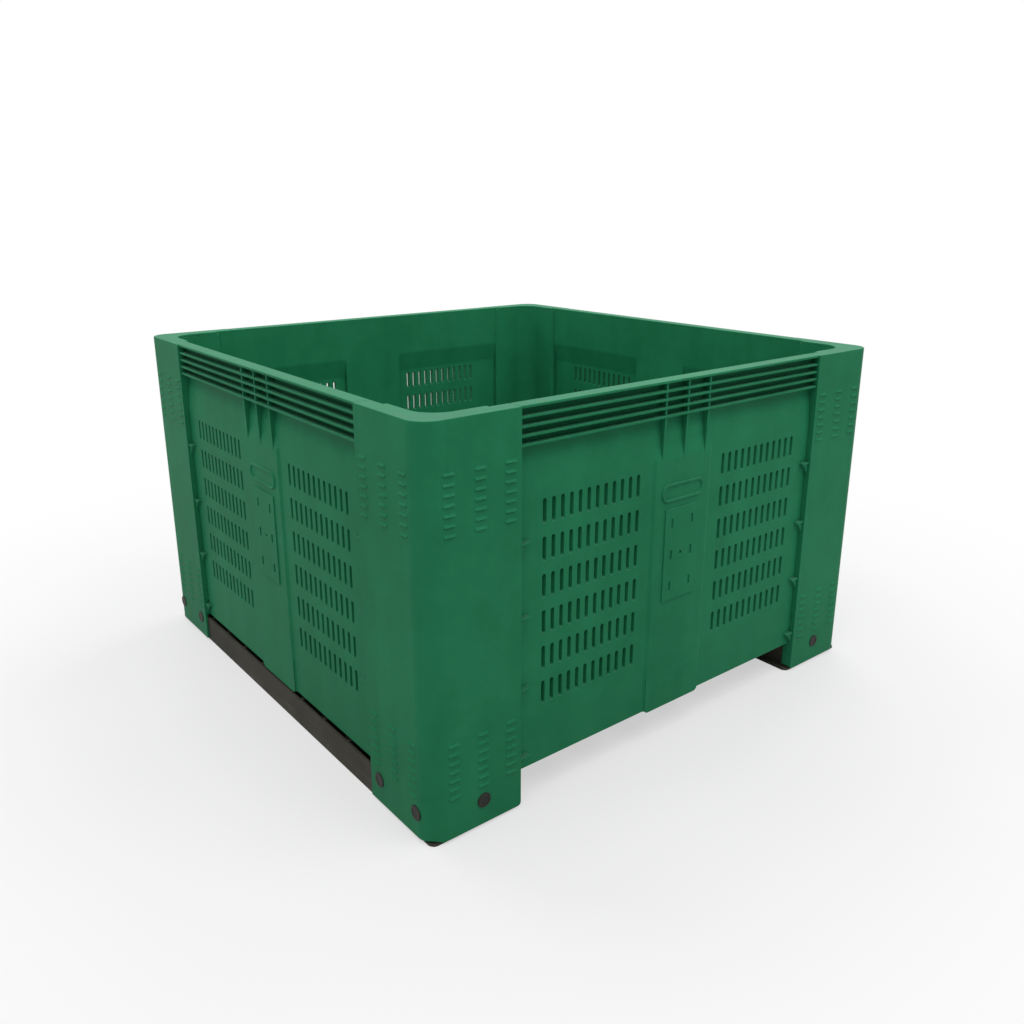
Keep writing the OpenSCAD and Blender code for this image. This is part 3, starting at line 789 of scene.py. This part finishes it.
def makeWall():
    outline = [(-panelHalf, panelBottom), (panelHalf, panelBottom), (panelHalf, tongueBottom),
               (tongueHalf, tongueBottom), (tongueHalf, wallHead), (-tongueHalf, wallHead),
               (-tongueHalf, tongueBottom), (-panelHalf, tongueBottom)]
    line = [(panel["recess"], wallHead)] + slopeCorners + [(upperDepth, wallTop)]
    left, low, right, high = ventField()
    field = rectangle(left, low, right, high)
    mirrored = [(-u, z) for u, z in field]
    wall = wallSheet([outline, field, mirrored, holeLoop()], panel["recess"], lowInnerDepth,
                     bentLine(line), bentLine(line, panel["thick"]))

    def outer(edge):
        # the openings stay crisp, so that the slot fields lie flush in them
        return not all(left - slack < abs(vert.co.x) < right + slack
                       and low - slack < vert.co.z < high + slack for vert in edge.verts)

    return soften(wall, panel["slotSoft"], 2, outer)


def makeBand():
    side = panel["bandHalf"]
    outline = rectangle(-side, panelBottom, side, wallHead)
    runOut = panel["kneeDepth"] + buried  # the band fades into the slope

    def line(depth, end):
        return bentLine([(depth, wallHead), (depth, panel["slopeLow"]), (end, panel["kneeHigh"])])

    spread = (panel["bandFoot"] - side) * (1 + buried / panel["bandRise"])
    band = wallSheet([outline, holeLoop()], bandDepth, wallMiddle,
                     line(bandDepth, runOut), line(wallMiddle, runOut + lap / 2), spread)
    low = panelLow.z
    r = panel["tabRound"]
    wide = panel["tabHalf"]
    outline = arc((-wide + r, low + r), r, 180, 270, 8) + arc((wide - r, low + r), r, 270, 360, 8)
    outline += [(wide, low + panel["tabHigh"]), (-wide, low + panel["tabHigh"])]
    tab = throughWall(outline, bandDepth - panel["tabProud"], lowInnerDepth)
    return [soften(band, panel["soft"], 3), soften(tab, panel["soft"], 3)]


def makeCard():
    wide = panel["cardWide"] / 2
    high = panel["cardHigh"] / 2
    outline = rectangle(-wide, cardMiddle - high, wide, cardMiddle + high)
    near = bandDepth - panel["cardRise"]
    card = cutSheet([outline] + cardLoops(), near, bandDepth + panel["bandRise"] / 2)
    return soften(card, panel["cardSoft"])


def makeRing():
    middle = binTop - panel["ringDrop"]
    r = panel["ringHigh"] / 2
    straight = panel["ringWide"] / 2 - r
    loop = arc((straight, 0), r, -90, 90, 14) + arc((-straight, 0), r, 90, 270, 14)
    bm = grown(wire([loop]), pipingTree, {"Radius": panel["ringBead"], "Material": binGreen})
    return moved(bm, onFace(bandDepth, middle))


def makeRibs():
    edge = panel["setback"]
    section = rectangle(edge, binTop - panel["rimThick"], innerDepth, binTop)
    rim = soften(alongWall(section, -panelHalf, panelHalf), panel["rimSoft"], 3)
    low = lowestRib - panel["ribThick"] / 2
    section = rectangle(edge, low, upperDepth + buried, low + panel["ribThick"])
    rib = soften(alongWall(section, -panelHalf, panelHalf), panel["soft"], 3)
    ribs = rows(rib, binGreen, up=panel["ribs"], upStep=(0, 0, panel["ribPitch"]))
    tip = binTop - panel["finDrop"]
    setback = panel["finSetback"]
    profile = [(setback, rimMiddle), (setback, lowestRib), (bandDepth, tip), (wallMiddle, tip)]
    profile += slopeMiddle + [(upperDepth + buried, rimMiddle)]
    start = -(panel["finPlaces"] - 1) / 2 * panel["finPitch"] - panel["finThick"] / 2
    fin = soften(alongWall(profile, start, start + panel["finThick"]), panel["soft"], 3)
    fins = rows(fin, binGreen, across=panel["finPlaces"], acrossStep=(panel["finPitch"], 0, 0))
    return [rim, ribs, fins]


def makeHooks():
    z = panelBottom + panel["hookLift"]
    t = panel["hookThick"] / 2
    plate = rectangle(panelHalf - panel["hookWide"], z - t, panelHalf, z + t)
    inner = panelHalf - panel["gussetShare"] * panel["hookWide"]
    gusset = [(inner, z), (panelHalf, z), (panelHalf, z - panel["hookGusset"])]
    near = panel["hookSetback"]
    hook = joined([soften(throughWall(plate, near, wallMiddle), panel["soft"]),
                   soften(throughWall(gusset, near + t, wallMiddle), panel["soft"])])
    return withMirror(rows(hook, binGreen, up=panel["hooks"], upStep=(0, 0, panel["hookPitch"])))


def makeColumn():
    # box column behind the band, with the lip that the floor lies on
    side = panel["columnHalf"]
    t = panel["thick"]
    top = panel["slopeHigh"] + panel["bend"]

    def upright(edge):
        first, second = edge.verts
        behind = min(first.co.y, second.co.y) > -half + innerDepth - slack
        return behind and abs(first.co.x - second.co.x) < slack

    face = throughWall(rectangle(-side, panelBottom, side, top), skinDepth, innerDepth)
    soften(face, panel["rimSoft"], 3, upright)
    profile = [(innerDepth - buried, panelBottom), (wallMiddle, panelBottom)]
    profile += slopeMiddle + [(innerDepth - buried, panel["slopeHigh"])]
    outer = side - panel["flankInset"]
    flanks = [alongWall(profile, start, start + t) for start in (-outer, outer - t)]
    low = deckPlateLow - panel["ledgeThick"]
    ledge = rectangle(lowInnerDepth - buried, low, lowInnerDepth + panel["ledgeWide"], deckPlateLow)
    lip = alongWall(ledge, -panelHalf + t, panelHalf - t)
    return [face, soften(lip, panel["ledgeSoft"])] + flanks


def makeSkin():
    # inner skin of the hollow wall, from the rim down to the slot fields
    flush = innerDepth - panel["skinInset"]
    foot = ventField()[3]
    field = panel["recess"] + panel["ventDeep"] + panel["skinInset"]
    bent = bentLine([(flush, wallTop), (flush, panel["skinLow"]), (field, foot + panel["ventHead"])])
    outline = [(skinDepth, wallTop), (flush, wallTop)] + [(d, z) for d, z in bent]
    outline += [(field, foot - lap), (field - panel["thick"], foot - lap), (skinDepth, panel["skinLow"])]
    head = rectangle(skinDepth, wallTop, flush, rimMiddle)
    return [alongWall(outline, -skinReach, skinReach), alongWall(head, -panelHalf, panelHalf)]


def makePanels():
    bodies = [makeWall(), makeCard(), makeRing()] + makeSkin() + makeVents() + makeBand()
    shape = joined(bodies + makeRibs() + makeHooks() + makeColumn())
    for turn, side in enumerate(sides):
        turned = moved(shape.copy(), Matrix.Rotation(turn * math.pi / 2, 4, "Z"))
        dress("sidePanel" + side.capitalize(), turned, binGreen, "bin_green", "side_panel_" + side)
    shape.free()


makePanels()
print("side panels built")


# Corner posts: a folded shell with a closed top, grip beads and a cut foot, drawn at the front left
post = {
    "round": 40 * mm,
    "wall": 5 * mm,
    "top": 5 * mm,
    "footLip": 25 * mm,
    "footCut": 4 * mm,
    "footNick": 6 * mm,
    "soft": 1.6 * mm,
    "beadLong": 22 * mm,
    "beadHigh": 7 * mm,
    "beadColumns": 3,
    "beadRows": 7,
    "beadPitch": 16.6 * mm,
    "beadLow": 135 * mm,
    "beadDrop": 136 * mm,
    "beadEdge": 12 * mm,
    # proud and up, from the top to the flat underside
    "beadProfile": [(-0.4, 0.45), (0, 0.45), (0.5, 0.12), (0.9, -0.1), (1, -0.16), (0.97, -0.22),
                    (0.6, -0.24), (0, -0.25), (-0.4, -0.25)],
    # along, and how much of the profile is left there
    "beadEnds": [(0, 0.5), (0.05, 0.88), (0.12, 1), (0.88, 1), (0.95, 0.88), (1, 0.5)],
}


def postSection(frontLip, sideLip):
    w = postWidth
    t = post["wall"]
    r = post["round"]
    outside = [(w, 0)] + arc((r, r), r, 270, 180) + [(0, w)]
    inside = [(t, w - t)] + arc((r, r), r - t, 180, 270) + [(w - t, t)]
    return outside + [(sideLip, w), (sideLip, w - t)] + inside + [(w - t, frontLip), (w, frontLip)]


def makeShell():
    foot = postLow.z
    footTop = panelBottom - fitGap
    lip = panel["recess"] - fitGap
    under = binTop - post["top"]
    wall = post["wall"]
    levels = [(foot, post["footLip"], wall), (footTop, post["footLip"], wall), (footTop, lip, lip)]
    levels += [(z, d - fitGap, d - fitGap) for d, z in slopeCorners]
    levels += [(under, upperDepth - fitGap, upperDepth - fitGap)]
    shell = loft([[(x, y, z) for x, y in postSection(front, side)] for z, front, side in levels])
    reach = post["round"] * (math.sqrt(2) - 1) + foot + post["footCut"]
    cutAway(shell, (0, 0, reach), (0.5, 0.5, math.sqrt(0.5)))
    cutAway(shell, (postWidth - post["footNick"], 0, foot), (-1, 0, 1))
    return soften(shell, post["soft"], 3, lambda e: min(v.co.z for v in e.verts) < under - slack)


def makePostTop():
    w = postWidth
    r = post["round"]
    start = liner["start"]
    depth = liner["depth"]
    bend = depth + liner["round"]
    outline = [(w, 0)] + arc((r, r), r, 270, 180)
    outline += [(0, w), (innerDepth, w), (innerDepth, start), (depth, start)]
    outline += arc((bend, bend), liner["round"], 180, 270)
    outline += [(start, depth), (start, innerDepth), (w, innerDepth)]
    under = binTop - post["top"]
    plate = prism([(x, y, under) for x, y in outline], (0, 0, post["top"]))
    return soften(plate, post["soft"], 3, lambda e: max(v.co.z for v in e.verts) > under + slack)


def makeBeads():
    # one raised lip with drawn-in ends, then its columns, rows and two groups
    long = post["beadLong"]
    first = post["round"]
    last = postWidth - post["beadEdge"] - long
    low = post["beadLow"] - (post["beadRows"] - 1) / 2 * post["beadPitch"]
    rings = []
    for along, share in post["beadEnds"]:
        x = first + along * long
        rings.append([(x, -beadProud * proud * share, low + post["beadHigh"] * up * share)
                      for proud, up in post["beadProfile"]])
    step = (last - first) / (post["beadColumns"] - 1)
    rise = binTop - post["beadDrop"] - post["beadLow"]
    return rows(loft(rings), binGreen, post["beadColumns"], (step, 0, 0),
                post["beadRows"], (0, 0, post["beadPitch"]), 2, (0, 0, rise))


otherFace = Matrix(((0, 1, 0, 0), (1, 0, 0, 0), (0, 0, 1, 0), (0, 0, 0, 1)))


def dressCorners(shapes, material, slotName):
    # shapes drawn at the front left, each dressed at all four corners
    for corner, (wayX, wayY) in corners.items():
        away = Matrix.Translation((-wayX * half, -wayY * half, 0))
        place = away @ Matrix.Diagonal((wayX, wayY, 1, 1))
        words = corner.title().replace("_", "")
        for name, node, bm in shapes:
            dress(name + words, moved(bm.copy(), place), material, slotName, node + corner)
    for name, node, bm in shapes:
        bm.free()


def makePosts():
    beads = makeBeads()
    shape = joined([makeShell(), makePostTop(), moved(beads.copy(), otherFace), beads])
    dressCorners([("cornerPost", "corner_post_", shape)], binGreen, "bin_green")


def linerSection(end):
    # slanted from the inner face, then straight back to the depth where the panel lies
    start = liner["start"]
    depth = liner["depth"]
    t = liner["thick"]
    run = depth - innerDepth - fitGap
    trim = t * (math.sqrt(2) - 1)
    bend = depth + liner["round"]
    turn = max(end, depth - run - trim)
    back = start - trim + depth - t - turn
    edge = [(start, depth), (start + run, depth - run), (start + run, end), (back, end), (back, turn),
            (start - trim, depth - t)]
    swapped = [(y, x) for x, y in reversed(edge)]
    return (arc((bend, bend), liner["round"], 180, 270) + edge
            + arc((bend, bend), liner["round"] + t, 270, 180) + swapped)


def makeLiners():
    off = panel["thick"] + fitGap
    levels = [(linerLow.z, panel["recess"] + off)]
    levels += [(z - liner["bendDrop"], d + off) for d, z in slopeCorners]
    levels += [(linerHigh.z, upperDepth + off)]
    shape = loft([[(x, y, z) for x, y in linerSection(end)] for z, end in levels])
    soften(shape, liner["soft"], 3)
    dressCorners([("cornerLiner", "corner_liner_", shape)], binGreen, "bin_green")


makePosts()
makeLiners()
print("corner posts and liners built")


# Floor deck: slotted plate on a rib grid
deck = {
    "plate": 5 * mm,
    "cells": 10,
    "ribThick": 5 * mm,
    "slotsInCell": 3,
    "slotWide": 8 * mm,
    "slotLong": 62 * mm,
    "spread": 0.6,  # of a cell, from the first to the last of its slots
    "headRoom": skidHigh.z + fitGap,
    "soft": 0.6 * mm,
}


def deckOutline():
    # one side with half of its corners, turned four times
    far = half - post["wall"] - fitGap
    near = half - lowInnerDepth - fitGap
    notch = half - innerDepth - fitGap
    r = post["round"] - post["wall"] - fitGap
    stepAt = half - postWidth + post["wall"] + fitGap
    column = panel["columnHalf"] + fitGap
    side = arc((-far + r, -far + r), r, 180, 270, 8)
    side += [(-stepAt, -far), (-stepAt, -near), (-column, -near), (-column, -notch)]
    side += [(column, -notch), (column, -near), (stepAt, -near), (stepAt, -far)]
    turned = []
    for turn in range(4):
        c, s = round(math.cos(turn * math.pi / 2)), round(math.sin(turn * math.pi / 2))
        turned += [(c * x - s * y, s * x + c * y) for x, y in side]
    return turned


def makeDeck():
    edge = half - lowInnerDepth - panel["ledgeWide"] - fitGap
    cell = 2 * edge / deck["cells"]
    step = cell * deck["spread"] / (deck["slotsInCell"] - 1)
    values = {
        "Slot Width": deck["slotLong"], "Slot Length": deck["slotWide"], "Slot Turns": 4,
        "First Slot": (-edge + cell / 2, -edge + cell / 2 - step, 0),
        "Across": deck["cells"], "Across Step": (cell, 0, 0),
        "Up": deck["slotsInCell"], "Up Step": (0, step, 0),
        "Groups": deck["cells"], "Group Step": (0, cell, 0),
        "Thickness": deck["plate"], "Material": binGreen}
    plate = grown(wire([deckOutline()]), slottedTree, values)
    soften(moved(plate, Matrix.Translation((0, 0, deckPlateLow))), deck["soft"])
    top = deckPlateLow + deck["plate"] / 2
    lifted = half - postWidth
    t = deck["ribThick"]

    def bar(y, outer):
        profile = rectangle(-edge, deckLow.z, edge, top)
        if outer:
            room = deck["headRoom"]
            profile = [(-edge, room), (-lifted, room), (-lifted, deckLow.z), (lifted, deckLow.z),
                       (lifted, room), (edge, room), (edge, top), (-edge, top)]
        return soften(prism([(x, y - t / 2, z) for x, z in profile], (0, t, 0)), deck["soft"])

    last = deck["cells"] // 2 - 2  # full ribs on each side of the middle one
    inner = rows(bar(-last * cell, False), binGreen, up=2 * last + 1, upStep=(0, cell, 0))
    low = rows(bar(-(last + 1) * cell, True), binGreen, up=2, upStep=(0, 2 * (last + 1) * cell, 0))
    rim = rows(bar(-edge + t / 2, True), binGreen, up=2, upStep=(0, 2 * edge - t, 0))
    oneWay = joined([inner, low, rim])
    crossed = moved(oneWay.copy(), otherFace)
    dress("floorDeck", joined([plate, oneWay, crossed]), binGreen, "bin_green", "floor_deck")


makeDeck()
print("floor deck built")


# Skids: a ribbed tray on a wider sole, drawn on the left side
skid = {
    "wall": 6 * mm,
    "sole": 5 * mm,
    "soleRound": 14 * mm,
    "ribs": 11,
    "ribSoft": 0.6 * mm,
    "soft": 1.6 * mm,
}


def skidRing(inset):
    # outline of the beam, from its inner front corner round the outer side to the back
    edge = post["wall"] + fitGap + inset
    inner = postWidth - post["wall"] - fitGap - inset
    r = post["round"] - edge
    reach = half - edge
    front = arc((edge + r, -reach + r), r, 270, 180, 10)
    back = arc((edge + r, reach - r), r, 180, 90, 10)
    return [(inner, -reach)] + front + back + [(inner, reach)]


def hollow(outer, inner, low, high):
    # a wall between two outlines of as many points
    bm = bmesh.new()
    rings = [[bm.verts.new((x, y, z)) for x, y in loop] for loop, z in
             ((outer, low), (outer, high), (inner, high), (inner, low))]
    for first, second in zip(rings, rings[1:] + rings[:1]):
        stitch(bm, first, second)
    return facingOut(bm)


def makeSkids():
    edge = post["wall"] + fitGap
    inner = postWidth - edge
    high = deckLow.z
    base = skid["sole"] / 2
    w = skid["wall"]
    outer = skidRing(0)
    walls = soften(hollow(outer, skidRing(w), base, high), skid["soft"] / 2)
    r = skid["soleRound"]
    reach = half - edge
    lip = half + skidHigh.x
    outline = []
    for x, y, turn in ((edge, -reach, 180), (lip, -reach, 270), (lip, reach, 0), (edge, reach, 90)):
        centre = (x + math.copysign(r, lip - 2 * x), y - math.copysign(r, y))
        outline += arc(centre, r, turn, turn + 90, 8)
    sole = prism([(x, y, 0) for x, y in outline], (0, 0, skid["sole"]))
    soften(sole, skid["soft"], 3)
    step = 2 * reach / (skid["ribs"] + 1)
    start = -(skid["ribs"] - 1) / 2 * step
    footprint = rectangle(edge + w / 2, start - w / 2, inner - w / 2, start + w / 2)
    rib = prism([(x, y, base) for x, y in footprint], (0, 0, high - lap - base))
    ribs = rows(soften(rib, skid["ribSoft"]), skidBlack, up=skid["ribs"], upStep=(0, step, 0))
    # the walls stand higher in the post feet, at the front and mirrored at the back
    stop = postWidth - half - edge
    front = [p for p in outer if p[1] < stop]
    back = [p for p in skidRing(w) if p[1] < stop]
    outline = front + [(edge, stop), (edge + w, stop)] + back[::-1]
    head = prism([(x, y, high - lap) for x, y in outline], (0, 0, skidHigh.z - high + lap))
    shape = joined([walls, sole, ribs] + withMirror(head, (0, 1, 0)))
    for way, name in ((1, "left"), (-1, "right")):
        place = Matrix.Translation((-way * half, 0, 0)) @ Matrix.Diagonal((way, 1, 1, 1))
        placed = moved(shape.copy(), place)
        dress("skid" + name.capitalize(), placed, skidBlack, "skid_black", "skid_" + name)
    shape.free()


makeSkids()
print("skids built")


# Push pins through the feet into the skids
pin = {
    "headRadius": 14 * mm,
    "headRound": 1.2 * mm,
    "dishRadius": 9.5 * mm,
    "dishDeep": 0.7 * mm,
    # across from the dish's radius, and how much of its depth is left there
    "dishEdge": [(-1.2 * mm, 1), (-0.4 * mm, 0.8), (0, 0.3), (0.6 * mm, 0)],
    "shankRadius": 8 * mm,
    "snap": 1.5 * mm,
    "grip": 11.6 * mm,
    "tip": 6 * mm,
    "taper": 1.2 * mm,
    "height": (pinLow.z + pinHigh.z) / 2,
    "proud": 2 * mm,
    "firstSide": 44 * mm,
    "secondSide": 164 * mm,
    "end": 0.575 * postWidth,
    "steps": 40,
}


def makePin():
    # radius and depth from the dished head to the snap tip, spun round
    head = pin["headRadius"]
    edge = pin["headRound"]
    out = -pin["proud"]
    deep = pin["dishDeep"]
    outline = [(0, out + deep)]
    outline += [(pin["dishRadius"] + across, out + share * deep) for across, share in pin["dishEdge"]]
    outline += [(head - edge + edge * math.sin(a), out + edge * (1 - math.cos(a)))
                for a in (0, math.pi / 6, math.pi / 3, math.pi / 2)]
    shank = pin["shankRadius"]
    grip = pin["grip"]
    end = grip + pin["tip"]
    outline += [(head, 0), (shank, 0), (shank, grip), (shank + pin["snap"], grip),
                (shank - pin["taper"], end), (0, end)]
    bm = bmesh.new()
    points = [bm.verts.new((r, depth, 0)) for r, depth in outline]
    line = [bm.edges.new(pair) for pair in zip(points, points[1:])]
    bmesh.ops.spin(bm, geom=points + line, axis=(0, 1, 0), cent=(0, 0, 0),
                   angle=2 * math.pi, steps=pin["steps"])
    bmesh.ops.remove_doubles(bm, verts=bm.verts[:], dist=hairline)
    return moved(bm, Matrix.Translation((0, 0, pin["height"])))


def makePins():
    single = makePin()
    end = moved(single.copy(), Matrix.Translation((pin["end"], 0, 0)))
    first = moved(single, otherFace @ Matrix.Translation((pin["firstSide"], 0, 0)))
    pair = rows(first, pinBlack, up=2, upStep=(0, pin["secondSide"] - pin["firstSide"], 0))
    dressCorners([("sidePins", "side_pins_", pair), ("endPin", "end_pin_", end)], pinBlack, "pin_black")


makePins()
print("pins built")


# Plain pale floor that fades into the white backdrop, and soft studio light
studio = {
    "floorHalf": 9,
    "floorTone": (0.6, 0.6, 0.6, 1),
    "fadeNear": 0.55,  # share of plain white that the camera sees under the bin
    "fadeFrom": 0.9,
    "fadeTo": 2,
    "ambient": 0.46,
    "boxPowers": [62, 62, 43, 60],  # soft boxes on the right, back, left and front
    "boxTurn": 20,  # degrees from the sides, the front one towards the right
    "boxSize": 2.2,
    "boxAway": 2,
    "boxHeight": 3.2,
}


def makeStudio():
    bm = bmesh.new()
    reach = studio["floorHalf"]
    bm.faces.new([bm.verts.new((x, y, 0)) for x, y in rectangle(-reach, -reach, reach, reach)])
    mesh = asMesh("paleFloor", bm)
    floor = linked("paleFloor", mesh)
    material, graph, where = newFinish("paleFloor")
    distance = graph.node("ShaderNodeVectorMath", {0: where}, {"operation": "LENGTH"}, out="Value")
    near = studio["fadeNear"]
    fade = near + (1 - near) * graph.ramp(distance, studio["fadeFrom"], studio["fadeTo"])
    matt = graph.node("ShaderNodeBsdfDiffuse", {"Color": studio["floorTone"]})
    white = graph.node("ShaderNodeEmission")
    sockets = {0: fade * graph.seenRay(), 1: matt, 2: white}
    graph.output("ShaderNodeOutputMaterial", graph.node("ShaderNodeMixShader", sockets))
    mesh.materials.append(material)
    scene.world = bpy.data.worlds.new("studio")
    scene.world.use_nodes = True
    sky = Graph(scene.world.node_tree)
    soft = sky.node("ShaderNodeBackground", {"Color": (1, 1, 1, 1), "Strength": studio["ambient"]})
    backdrop = sky.node("ShaderNodeBackground", {"Color": (1, 1, 1, 1)})
    sockets = {0: sky.seenRay(), 1: soft, 2: backdrop}
    sky.output("ShaderNodeOutputWorld", sky.node("ShaderNodeMixShader", sockets))
    aim = Vector((0, 0, binTop / 2))
    away = studio["boxAway"]
    for i, power in enumerate(studio["boxPowers"]):
        lamp = bpy.data.lights.new("softBox", "AREA")
        lamp.energy = power
        lamp.size = studio["boxSize"]
        box = linked("softBox", lamp)
        turn = math.radians(90 * i + studio["boxTurn"])
        box.location = (away * math.cos(turn), away * math.sin(turn), studio["boxHeight"])
        box.rotation_euler = (aim - box.location).to_track_quat("-Z", "Y").to_euler()


makeStudio()
print("studio lit")
